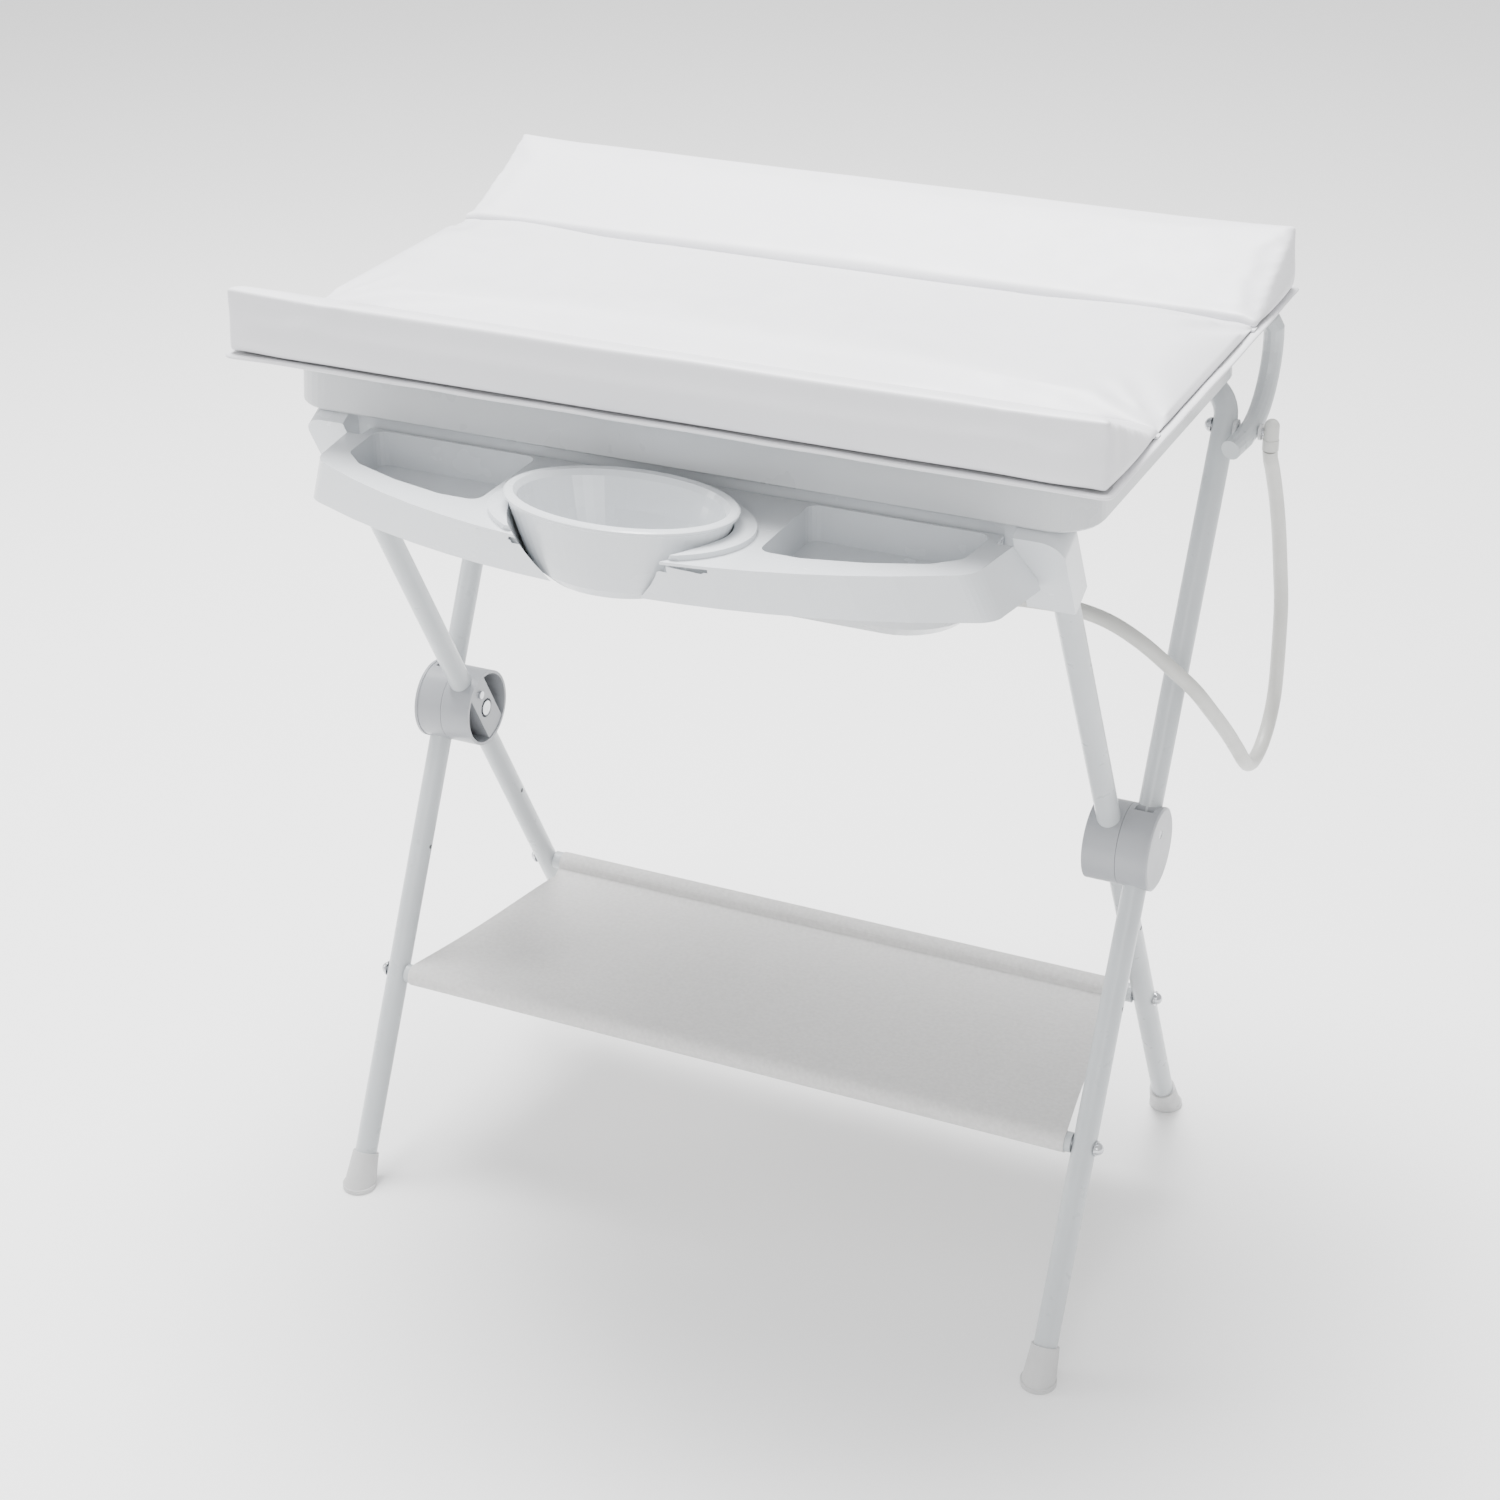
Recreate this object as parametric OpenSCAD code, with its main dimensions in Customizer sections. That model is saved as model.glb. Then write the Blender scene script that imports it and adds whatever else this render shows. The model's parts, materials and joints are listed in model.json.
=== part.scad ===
// Folding changing table with a bath tub, an organizer tray and a cloth shelf.
// Millimetres, +Z up, +X to the table's right, -Y to the front.
// The origin is on the floor, below the middle of the table.

/* [Changing pad] */
// Length of the pad along X
pad_len = 800; // [780:1:820]
// Front edge of the pad, measured forward from the hub axis
pad_front = 265; // [255:1:275]
// Rear edge of the pad, measured back from the hub axis
pad_back = 270; // [262:1:272]
// Height of the pad's underside above the floor
pad_z = 898.5; // [896:0.5:900]
// Height of the raised front and rear edges above the underside
pad_edge_h = 62; // [45:1:80]
// Depth of each raised wedge in Y
wedge_w = 130; // [100:1:150]
// Thickness of the flat middle cushion, board included
pad_mid_h = 25; // [15:1:35]

/* [Legs] */
// Outer diameter of the leg tubes
leg_d = 22.2; // [20:0.1:23]
// Wall of the leg tubes
leg_wall = 1.5; // [1:0.1:2]
// Height of the hub axis, where the legs cross
hub_z = 450; // [448:1:452]
// Lean of the outer legs, which run from the front feet to the rear top bar
outer_lean = 27.16; // [27:0.01:27.3]
// Lean of the inner legs, which run from the rear feet to the front sockets
inner_lean = 28.4; // [28:0.01:28.8]
// X of the outer leg axes
outer_x = 367; // [366:1:368]
// X of the inner leg axes
inner_x = 339; // [338:1:340]
// Height of the two shelf bars
shelf_z = 200; // [190:1:210]

/* [Tub] */
// Half length of the rim
rim_a = 373; // [371:1:374]
// Front of the rim, measured forward from the hub axis
rim_front = 222; // [220:1:224]
// Rear of the rim, measured back from the hub axis
rim_back = 205; // [204:1:206]
// Top of the rim
rim_z = 890; // [889:1:891]
// Depth of the rim's skirt
skirt_h = 45; // [44:1:46]
// Wall of the tub
tub_wall = 3; // [2.5:0.1:3.5]

/* [Tray] */
// Front of the tray, measured forward from the hub axis
tray_front = 366; // [364:1:372]
// Half length of the tray at the deck
tray_a = 304; // [300:1:308]
// Height of the deck
deck_z = 829; // [827:1:831]
// Height of the tray's skirt
tray_h = 42; // [38:1:44]

/* [Hose] */
// Outer diameter of the drain hose
hose_d = 14; // [12:1:15]

/* [Hidden] */
$fn = 48;

// General
leg_r = leg_d / 2;
fit = 0.05;
play = 0.1;
steel = [0.90, 0.92, 0.92];
plastic = [0.95, 0.95, 0.96];
grey_plastic = [0.78, 0.79, 0.80];
cloth = [0.93, 0.92, 0.91];
chrome = [0.75, 0.76, 0.78];
rubber = [0.86, 0.86, 0.85];

// Feet
foot_r = 17;
foot_h = 36;
foot_sole = 5;
front_foot_y = -hub_z * tan(outer_lean);
rear_foot_y = hub_z * tan(inner_lean);

// The middle of the table in Y lies this far in front of the hub axis
hub_y = (tray_front - pad_back) / 2;

// Legs and bars, as distances from the hub along the leg
outer_bar_w = 427;
bar_bend_r = 33;
inner_top_w = 395;
pivot_w = 388.3;
shelf_bar_r = 9.5;
front_bar_y = (shelf_z - hub_z) * tan(outer_lean);
rear_bar_y = (hub_z - shelf_z) * tan(inner_lean);
drill_r = 2.5;

// Hubs
drum_r = 38.5;
drum_in = 321;
split_in = 352.7;
split_out = 353.1;
drum_out = 379.5;
cap_t = 4;
hub_bolt_r = 4;
drum_wall = 3;
web_w = 30;

// Pad arms, in the plane of the arm, measured from the pivot
arm_r = 9.5;
arm_x = 390.5;
arm_arc_r = 64.5;
arm_start = 2;
arm_end = 25.4;
arm_stub = 38;
arm_stub_lean = 10;
arm_corner = 24;
arm_sides = 16;
pivot_y = pivot_w * sin(outer_lean);
pivot_z = hub_z + pivot_w * cos(outer_lean);
pivot_bolt_r = 4;
pivot_end = 415;
bar_y = arm_arc_r * (cos(arm_end) - sin(arm_start));
bar_z = arm_arc_r * (sin(arm_end) + cos(arm_start));

// Tub rings: half length, half depth, corner radius, centre Y, height
skirt_z = rim_z - skirt_h;
rim_b = (rim_front + rim_back) / 2;
rim_c = (rim_back - rim_front) / 2;
tub_floor = 685;
body_c = -2;
fillet_r = 35;
floor_a = 204;
floor_b = 124;
corner_steps = 8;

// Tray
rear_edge = 206;
tray_arc_r = 614;
tray_corner = 26;
flare = [1.052, 0.957];
pocket_floor = 797;
shell = 3;

// Soap cup
cup_y = -300;
cup_a = 103.5;
cup_b = 63.5;
cup_z = 848;
cup_low_y = -316;
cup_low_a = 60;
cup_low_b = 40;
cup_low_z = 783;
cup_steps = 56;
cup_lift = [0, -0.6, 0.8];

// Drain
drain_x = 140;
drain_r = 15;
spout_z = 672;
spout_x = 178;
plug_x = 411;
plug_z = 780;

// The hose's route from the drain spout to the plug, Y from the hub axis
hose_route = [[178, 0, 672], [215, 0, 673], [252, 1, 675], [288, 1, 675], [322, 2, 668],
  [352, 8, 650], [376, 24, 622], [392, 46, 594], [402, 74, 561], [408, 108, 526],
  [411, 143, 491], [412, 171, 464], [412, 190, 451.4], [412, 212, 447], [412, 234, 451.4],
  [412, 253, 464], [412, 265.6, 483], [412, 270, 505], [412, 269, 545], [412, 264, 590],
  [411, 252, 635], [411, 235, 678], [411, 215, 718], [411, 194, 752], [411, 181, 770],
  [411, 177.2, 780]];
hose_sides = 10;

// Puts a piece that is measured from the hub axis into the table's frame
module place() {
  translate([0, hub_y, 0])
    children();
}

// Turns a piece that points up so that it leans, about the hub axis
module leaning(angle) {
  translate([0, 0, hub_z])
    rotate([-angle, 0, 0])
      children();
}

// A cylinder along X between two X values
module rod_x(x0, x1, r, y = 0, z = 0) {
  translate([x0, y, z])
    rotate([0, 90, 0])
      cylinder(r = r, h = x1 - x0);
}

// A piece and its mirror image in X
module both_sides() {
  children();
  mirror([1, 0, 0])
    children();
}

// ---- Legs ----

module leg_tube(low, high) {
  difference() {
    translate([0, 0, low])
      cylinder(r = leg_r, h = high - low);
    translate([0, 0, low - 1])
      cylinder(r = leg_r - leg_wall, h = high - low + 2);
  }
}

// The leg's lower end stays this far above the sole, along the leg
function leg_bottom(lean) = -(hub_z / cos(lean)) + 14;

module cross_hole(w, r) {
  translate([-leg_r - 1, 0, w])
    rotate([0, 90, 0])
      cylinder(r = r, h = leg_d + 2);
}

module outer_leg(side) {
  place()
    difference() {
      leaning(outer_lean)
        translate([side * outer_x, 0, 0])
          difference() {
            leg_tube(leg_bottom(outer_lean), outer_bar_w - bar_bend_r);
            cross_hole(0, hub_bolt_r + fit);
            cross_hole(pivot_w, pivot_bolt_r + fit);
            cross_hole((shelf_z - hub_z) / cos(outer_lean), hub_bolt_r + fit);
            cross_hole(-150, drill_r);
          }
    }
}

module outer_leg_left() {
  color(steel)
    outer_leg(-1);
}

module outer_leg_right() {
  color(steel)
    outer_leg(1);
}

// The top bar of the outer legs, with a bend down to each leg
module outer_top_bar() {
  bend_w = outer_bar_w - bar_bend_r;
  straight = outer_x - bar_bend_r;
  color(steel)
    place()
      leaning(outer_lean) {
        translate([0, 0, outer_bar_w])
          difference() {
            rod_x(-straight, straight, leg_r);
            rod_x(-straight - 1, straight + 1, leg_r - leg_wall);
          }
        both_sides()
          translate([straight, 0, bend_w])
            rotate([90, 0, 0])
              rotate_extrude(angle = 90)
                translate([bar_bend_r, 0])
                  difference() {
                    circle(r = leg_r);
                    circle(r = leg_r - leg_wall);
                  }
      }
}

module inner_leg(side) {
  place()
    leaning(-inner_lean)
      translate([side * inner_x, 0, 0])
        difference() {
          leg_tube(leg_bottom(inner_lean), inner_top_w);
          cross_hole(0, hub_bolt_r + play);
          cross_hole((shelf_z - hub_z) / cos(inner_lean), hub_bolt_r + fit);
          cross_hole(-150, drill_r);
        }
}

module inner_leg_left() {
  color(steel)
    inner_leg(-1);
}

module inner_leg_right() {
  color(steel)
    inner_leg(1);
}

// Plugs that close the open tops of the inner legs
module inner_leg_caps() {
  color(rubber)
    place()
      both_sides()
        leaning(-inner_lean)
          translate([inner_x, 0, inner_top_w]) {
            cylinder(r = leg_r, h = 2.5);
            translate([0, 0, -12])
              cylinder(r = leg_r - leg_wall - fit, h = 12);
          }
}

// A boot on the end of a leg: a sole on the floor and a collar around the tube
module foot(x, y, lean) {
  difference() {
    union() {
      translate([x, y, 0])
        cylinder(r = foot_r, h = foot_sole);
      intersection() {
        translate([x, y, 0])
          rotate([-lean, 0, 0])
            translate([0, 0, -10])
              cylinder(r1 = foot_r, r2 = leg_r + 2.2, h = foot_h + 10);
        translate([x - 40, y - 60, foot_sole / 2])
          cube([80, 120, 80]);
      }
    }
    translate([x, y, 0])
      rotate([-lean, 0, 0])
        translate([0, 0, 14])
          cylinder(r = leg_r + fit, h = foot_h);
  }
}

module front_feet() {
  color(rubber)
    place()
      both_sides()
        foot(outer_x, front_foot_y, outer_lean);
}

module rear_feet() {
  color(rubber)
    place()
      both_sides()
        foot(inner_x, rear_foot_y, -inner_lean);
}

// ---- Shelf bars ----

module shelf_bar(x, y) {
  color(steel)
    place()
      difference() {
        rod_x(-x, x, shelf_bar_r, y, shelf_z);
        both_sides()
          rod_x(x - 30, x + 1, hub_bolt_r + fit, y, shelf_z);
      }
}

// The bars stop where the leg tubes' inner sides begin
module front_shelf_bar() {
  shelf_bar(outer_x - leg_r - 0.1, front_bar_y);
}

module rear_shelf_bar() {
  shelf_bar(inner_x - leg_r - 0.1, rear_bar_y);
}

// A bolt through the leg into the end of a bar, with a washer and a domed head
module bar_bolt(x, y) {
  both_sides() {
    rod_x(x - 36, x + leg_r + 2, hub_bolt_r, y, shelf_z);
    rod_x(x + leg_r, x + leg_r + 1.5, 7.5, y, shelf_z);
    translate([x + leg_r + 1.5, y, shelf_z])
      intersection() {
        sphere(r = 6);
        translate([0, -10, -10])
          cube(20);
      }
  }
}

module front_bar_nuts() {
  color(chrome)
    place()
      bar_bolt(outer_x, front_bar_y);
}

module rear_bar_nuts() {
  color(chrome)
    place()
      bar_bolt(inner_x, rear_bar_y);
}

// ---- Hubs ----

// Half of the hub drum that is fixed to an outer leg, closed by the cap
module hub_outer(side) {
  color(grey_plastic)
    place()
      scale([side, 1, 1])
        leaning(outer_lean)
          difference() {
            union() {
              difference() {
                rod_x(split_out, drum_out, drum_r);
                rod_x(split_out + drum_wall, drum_out + 1, drum_r - drum_wall);
              }
              intersection() {
                rod_x(split_out, drum_out, drum_r - 1);
                translate([split_out, -leg_r - 2.5, -drum_r])
                  cube([drum_out - split_out, leg_d + 5, 2 * drum_r]);
              }
            }
            translate([outer_x, 0, -drum_r - 5])
              cylinder(r = leg_r + fit, h = 2 * drum_r + 10);
            rod_x(split_out - 1, drum_out + 1, hub_bolt_r + fit);
            translate([outer_x - 9, -leg_r - 9.5, drum_r - 14])
              cube([18, 9.5, 20]);
          }
}

module hub_outer_left() {
  mirror([1, 0, 0])
    hub_outer(1);
}

module hub_outer_right() {
  hub_outer(1);
}

// Half of the hub drum that is fixed to an inner leg: open inwards, with a web
module hub_inner(side) {
  color(grey_plastic)
    place()
      scale([side, 1, 1])
        leaning(-inner_lean)
          difference() {
            union() {
              difference() {
                rod_x(drum_in, split_in, drum_r);
                rod_x(drum_in - 1, split_in - drum_wall, drum_r - drum_wall);
              }
              intersection() {
                rod_x(drum_in + 1, split_in, drum_r - 1);
                translate([drum_in, -web_w / 2, -drum_r])
                  cube([split_in - drum_in, web_w, 2 * drum_r]);
              }
            }
            translate([inner_x, 0, -drum_r - 5])
              cylinder(r = leg_r + fit, h = 2 * drum_r + 10);
            rod_x(drum_in - 1, split_in + 1, hub_bolt_r + play);
            rod_x(drum_in - 1, drum_in + 5, 10);
            rod_x(drum_in - 1, drum_in + 7, 2, 0, 22);
          }
}

module hub_inner_left() {
  mirror([1, 0, 0])
    hub_inner(1);
}

module hub_inner_right() {
  hub_inner(1);
}

// Round covers on the outer ends of the hubs
module hub_caps() {
  color(grey_plastic)
    place()
      both_sides()
        translate([drum_out, 0, hub_z])
          rotate([0, 90, 0])
            difference() {
              union() {
                cylinder(r = drum_r + 0.8, h = cap_t - 1.2);
                translate([0, 0, cap_t - 1.2])
                  cylinder(r1 = drum_r + 0.8, r2 = drum_r - 1.5, h = 1.2);
              }
              translate([-16, 0, -1])
                cylinder(r = 2.05, h = cap_t + 2);
              translate([-16, 0, cap_t - 1.5])
                cylinder(r = 4.2, h = 3);
            }
}

module hub_cap_screws() {
  color(chrome)
    place()
      both_sides()
        translate([drum_out, 0, hub_z])
          rotate([0, 90, 0])
            translate([-16, 0, 0]) {
              cylinder(r = 2, h = cap_t - 1.4);
              translate([0, 0, cap_t - 1.5])
                difference() {
                  cylinder(r = 4, h = 1.2);
                  translate([-3, -0.4, 0.5])
                    cube([6, 0.8, 2]);
                }
            }
}

// Pivot bolts of the scissor legs, with a head in the inner drum
module hub_bolts() {
  color(chrome)
    place()
      both_sides() {
        rod_x(drum_in + 3, drum_out - 1, hub_bolt_r, 0, hub_z);
        rod_x(drum_in + 0.5, drum_in + 4.5, 7.5, 0, hub_z);
      }
}

// Screws that hold each inner drum to its leg
module hub_web_screws() {
  color(chrome)
    place()
      both_sides()
        leaning(-inner_lean) {
          rod_x(drum_in - 1, drum_in + 6.8, 1.9, 0, 22);
          rod_x(drum_in - 1.4, drum_in + 0.9, 4, 0, 22);
        }
}

// ---- Tubes along a route ----

function unit(v) = v / norm(v);

// Direction of a route at one of its points
function heading(route, i) = let (n = len(route) - 1)
  unit(route[min(i + 1, n)] - route[max(i - 1, 0)]);

function square_to(u, t) = unit(u - t * (u * t));

// A round tube through the points of a route
module tube_along(route, radius, sides) {
  n = len(route);
  start = abs(heading(route, 0)[0]) > 0.8 ? [0, 1, 0] : [1, 0, 0];
  sideways = [for (i = 0, u = square_to(start, heading(route, 0)); i < n; i = i + 1,
    u = square_to(u, heading(route, min(i, n - 1)))) u];
  loft([for (i = [0:n - 1])
    let (u = sideways[i], v = cross(heading(route, i), u))
    [for (s = [0:sides - 1])
      let (turn = -360 * s / sides)
      route[i] + radius * (u * cos(turn) + v * sin(turn))]]);
}

// ---- Pad arms and their pivots ----

// Moves a piece from the pivot's frame to the table's
module at_pivot() {
  translate([0, hub_y + pivot_y, pivot_z])
    children();
}

// A point of the arm's bend, seen from the pivot
function arm_at(turn, inward = 0) = [arm_x - inward,
  arm_arc_r * (cos(turn) - sin(arm_start)), arm_arc_r * (sin(turn) + cos(arm_start))];

// From the stub in front of the leg, past the pivot, up behind the tub, then inwards
arm_route = concat(
  [[arm_x - 6, -arm_stub * cos(arm_stub_lean), -arm_stub * sin(arm_stub_lean)],
    [arm_x - 1, -0.4 * arm_stub * cos(arm_stub_lean), -0.4 * arm_stub * sin(arm_stub_lean)]],
  [for (turn = [arm_start - 90:10:12]) arm_at(turn)],
  [arm_at(18, 3), arm_at(22, 9), arm_at(arm_end, 17), arm_at(arm_end, arm_corner)]);

module pad_arm() {
  color(steel)
    at_pivot()
      difference() {
        tube_along(arm_route, arm_r, arm_sides);
        rod_x(arm_x - 15, arm_x + 15, pivot_bolt_r + play);
      }
}

module pad_arm_left() {
  mirror([1, 0, 0])
    pad_arm();
}

module pad_arm_right() {
  pad_arm();
}

module pad_support_bar() {
  color(steel)
    at_pivot()
      difference() {
        rod_x(arm_corner - arm_x, arm_x - arm_corner, arm_r, bar_y, bar_z);
        rod_x(arm_corner - 1 - arm_x, arm_x - arm_corner + 1, arm_r - leg_wall, bar_y, bar_z);
      }
}

// Saddles that hold the pad's board down on the support bar
module pad_clips() {
  color(plastic)
    at_pivot()
      for (x = [-240, 0, 240])
        difference() {
          translate([x - 15, bar_y - arm_r - 1.6, bar_z - 6])
            cube([30, 2 * arm_r + 3.2, pad_z - pivot_z - bar_z + 6]);
          rod_x(x - 16, x + 16, arm_r + 0.3, bar_y, bar_z);
          translate([x - 16, bar_y - arm_r - 0.3, bar_z - 7])
            cube([32, 2 * arm_r + 0.6, 7]);
        }
}

// Bolts through the outer legs; the pegs on their outer ends hold the hose plug
module pad_pivot_bolts() {
  color(chrome)
    at_pivot()
      both_sides() {
        rod_x(outer_x - leg_r - 2, pivot_end, pivot_bolt_r);
        translate([outer_x - leg_r, 0, 0])
          intersection() {
            sphere(r = 7);
            translate([-20, -10, -10])
              cube(20);
          }
      }
}

module pad_pivot_washers() {
  color(plastic)
    at_pivot()
      both_sides() {
        difference() {
          rod_x(outer_x + leg_r - 1.5, arm_x - arm_r - 0.9, 8.5);
          rod_x(outer_x, arm_x, pivot_bolt_r + play);
          rotate([-outer_lean, 0, 0])
            translate([outer_x, 0, -20])
              cylinder(r = leg_r + fit, h = 40);
        }
        difference() {
          rod_x(arm_x + arm_r + 0.1, arm_x + arm_r + 2.6, 7.5);
          rod_x(arm_x, pivot_end, pivot_bolt_r + play);
        }
      }
}

// ---- Pad ----

// A prism along X from an outline in Y and Z
module prism_x(half, points) {
  rotate([90, 0, 90])
    translate([0, 0, -half])
      linear_extrude(2 * half)
        polygon(points);
}

pad_half = pad_len / 2;
board_t = 4;
foam_z = pad_z + board_t + 0.2;
fold_front = -pad_front + wedge_w;
fold_back = pad_back - wedge_w;

module pad_wedge_front() {
  color(cloth)
    place()
      prism_x(pad_half, [[-pad_front, foam_z], [fold_front - 2, foam_z], [fold_front - 2, foam_z + 3],
        [-pad_front, pad_z + pad_edge_h]]);
}

module pad_wedge_rear() {
  color(cloth)
    place()
      prism_x(pad_half, [[fold_back + 2, foam_z], [pad_back, foam_z], [pad_back, pad_z + pad_edge_h],
        [fold_back + 2, foam_z + 3]]);
}

module pad_cushion() {
  top = pad_z + pad_mid_h;
  color(cloth)
    place()
      prism_x(pad_half - 2, [[fold_front, foam_z], [fold_back, foam_z], [fold_back, top - 14],
        [fold_back - 14, top - 3], [fold_back - 40, top], [fold_front + 40, top],
        [fold_front + 14, top - 3], [fold_front, top - 14]]);
}

module pad_board() {
  color(plastic)
    place()
      translate([2 - pad_half, 2 - pad_front, pad_z])
        cube([pad_len - 4, pad_front + pad_back - 4, board_t]);
}

// ---- Tub ----

// Points of a rounded rectangle at one height
function ring(a, b, r, c, z) = [for (q = [0:3]) for (s = [0:corner_steps])
  let (turn = 90 * q + 90 * s / corner_steps,
       sx = (q == 0 || q == 3) ? 1 : -1,
       sy = (q < 2) ? 1 : -1)
  [sx * (a - r) + r * cos(turn), c + sy * (b - r) + r * sin(turn), z]];

// A closed surface through rings, with a flat cap on the first and the last
module loft(rings) {
  n = len(rings[0]);
  last = len(rings) - 1;
  points = [for (r = rings) for (p = r) p];
  sides = [for (i = [0:last - 1]) for (j = [0:n - 1])
    let (k = (j + 1) % n)
    [i * n + j, (i + 1) * n + j, (i + 1) * n + k, i * n + k]];
  polyhedron(points, concat(sides, [[for (j = [0:n - 1]) j]],
    [[for (j = [n - 1:-1:0]) last * n + j]]), 4);
}

fillet_turns = [0, 30, 60, 85];
rail_z = 842;

module tub() {
  t = tub_wall;
  outside = [for (f = fillet_turns)
    ring(floor_a + fillet_r * sin(f), floor_b + fillet_r * sin(f), 50 + 10 * sin(f), body_c,
      tub_floor + fillet_r * (1 - cos(f)))];
  walls = [[268, 163, 62, 760], [297, 169, 60, 810], [314, 173, 56, skirt_z], [319, 175, 54, rim_z - 12]];
  climb = [for (w = walls) ring(w[0], w[1], w[2], body_c, w[3])];
  flange = [ring(rim_a - t, rim_b - t, 37, rim_c, rim_z - t - 1),
    ring(rim_a - t + 1, rim_b - t + 1, 37, rim_c, skirt_z),
    ring(rim_a, rim_b, 40, rim_c, skirt_z + 2),
    ring(rim_a - 2, rim_b - 2, 40, rim_c, rim_z - 6),
    ring(rim_a - 4, rim_b - 4, 38, rim_c, rim_z - 1.5),
    ring(rim_a - 8, rim_b - 8, 36, rim_c, rim_z),
    ring(323, 179, 52, body_c, rim_z)];
  inner_walls = [for (i = [len(walls) - 1:-1:0])
    ring(walls[i][0] - t, walls[i][1] - t, walls[i][2] - t, body_c, walls[i][3])];
  inner_floor = [for (i = [len(fillet_turns) - 1:-1:0])
    let (f = fillet_turns[i])
    ring(floor_a - 2 + (fillet_r - 1) * sin(f), floor_b - 2 + (fillet_r - 1) * sin(f), 48 + 9 * sin(f),
      body_c, tub_floor + t + (fillet_r - 1) * (1 - cos(f)))];
  color(plastic)
    place()
      difference() {
        union() {
          loft(concat(outside, climb, flange, inner_walls, inner_floor));
          for (x = [-248, -128, 112, 232])
            translate([x, -203, rail_z])
              cube([16, 30, rim_z - 2.5 - rail_z]);
          for (x = [-210, 190])
            translate([x, 173, hub_z + outer_bar_w * cos(outer_lean) + leg_r])
              cube([20, 30, rim_z - 2.5 - hub_z - outer_bar_w * cos(outer_lean) - leg_r]);
        }
        translate([drain_x, 0, tub_floor - 5])
          cylinder(r = drain_r + play, h = 15);
      }
}

module tub_feet() {
  color(plastic)
    place()
      for (x = [-190, 190])
        for (y = [-105, 100])
          translate([x, y, tub_floor - 6])
            cylinder(r = 5.5, h = 6);
}

// Soft stops on the front of the rim, under the pad
module rim_bumpers() {
  color(rubber)
    place()
      for (x = [-300, -110, 110, 300])
        translate([x, -rim_front + 22, rim_z])
          cylinder(r = 8, h = pad_z - rim_z - 0.3);
}

// ---- Drain ----

// Threaded outlet under the tub, with a spout to the right
module drain_fitting() {
  color(plastic)
    place()
      translate([drain_x, 0, 0])
        difference() {
          union() {
            translate([0, 0, spout_z - 12])
              cylinder(r = drain_r, h = tub_floor + tub_wall + 2 - spout_z + 12);
            translate([0, 0, tub_floor + tub_wall + 0.1])
              cylinder(r = drain_r + 6, h = 2);
            rod_x(0, spout_x - drain_x, 6.5, 0, spout_z);
          }
          translate([0, 0, spout_z - 8])
            cylinder(r = 11, h = 60);
          rod_x(0, spout_x - drain_x + 1, 4.5, 0, spout_z);
        }
}

module drain_gasket() {
  color(rubber)
    place()
      translate([drain_x, 0, tub_floor - 2.5])
        difference() {
          cylinder(r = drain_r + 5, h = 2.4);
          translate([0, 0, -1])
            cylinder(r = drain_r + fit, h = 5);
        }
}

// Stopper that closes the outlet, with a finger ring
module drain_plug() {
  low = tub_floor + tub_wall - 8;
  top = tub_floor + tub_wall + 2.2;
  color(rubber)
    place()
      translate([drain_x, 0, 0]) {
        translate([0, 0, low])
          cylinder(r = 10.9, h = top - low);
        translate([0, 0, top])
          cylinder(r = 15, h = 2.5);
        translate([0, 1.5, top + 9])
          rotate([90, 0, 0])
            difference() {
              cylinder(r = 8, h = 3);
              translate([0, 0, -1])
                cylinder(r = 5, h = 5);
              translate([-10, -20, -1])
                cube([20, 13, 5]);
            }
      }
}

// ---- Hose ----

module drain_hose() {
  color(plastic)
    place()
      tube_along(hose_route, hose_d / 2, hose_sides);
}

// Cap on the hose's end, pushed onto the right pivot bolt's peg
module hose_plug() {
  color(plastic)
    translate([plug_x, hub_y + pivot_y, 0])
      difference() {
        union() {
          translate([0, 0, plug_z])
            cylinder(r = 7.5, h = 10);
          translate([0, 0, plug_z + 10])
            cylinder(r = 7, h = pivot_z - plug_z - 3);
          translate([0, 0, pivot_z + 7])
            sphere(r = 7);
        }
        rod_x(-10, pivot_end - plug_x, pivot_bolt_r + fit, 0, pivot_z);
      }
}

// ---- Tray ----

// Right half of the tray's outline at the deck, from the front's middle to the rear
corner_x = tray_a - tray_corner;
corner_y = tray_arc_r - tray_front - sqrt(pow(tray_arc_r - tray_corner, 2) - corner_x * corner_x);
corner_turn = atan2(corner_y - tray_arc_r + tray_front, corner_x);
right_half = concat(
  [for (x = [0:35:corner_x]) [x, tray_arc_r - tray_front - sqrt(tray_arc_r * tray_arc_r - x * x)]],
  [for (k = [0:6]) let (turn = corner_turn * (1 - k / 6))
    [corner_x + tray_corner * cos(turn), corner_y + tray_corner * sin(turn)]],
  [[tray_a + 9, -rear_edge]]);
left_half = [for (k = [len(right_half) - 1:-1:1]) [-right_half[k][0], right_half[k][1]]];
tray_line = concat(left_half, right_half);

// The outline moved inwards, flared by a share of the whole flare
function tray_ring(inset, z, share) = [for (p = tray_line)
  let (narrow = 1 - inset / tray_a,
       depth = 1 - inset / (tray_front - rear_edge),
       tuck = 1 - share * (1 - flare[1]) * tray_front / (tray_front - rear_edge))
  [p[0] * narrow * (1 + share * (flare[0] - 1)), (p[1] + rear_edge) * depth * tuck - rear_edge - 0.66 * inset, z]];

// The tray's outer body: the skirt flares at the ends and tucks in at the front
module tray_body(inset, z0, z1) {
  loft([tray_ring(inset, z0, 1), tray_ring(inset, z1, 0)]);
}

// Outline of the right pocket
module pocket_plan(grow = 0) {
  offset(r = 10 + grow, $fn = 16)
    offset(r = -10, $fn = 16)
      polygon([[128, -rear_edge - shell], [128, -312], [165, -312], [215, -300], [262, -282],
        [284, -262], [288, -rear_edge - shell]]);
}

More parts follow.
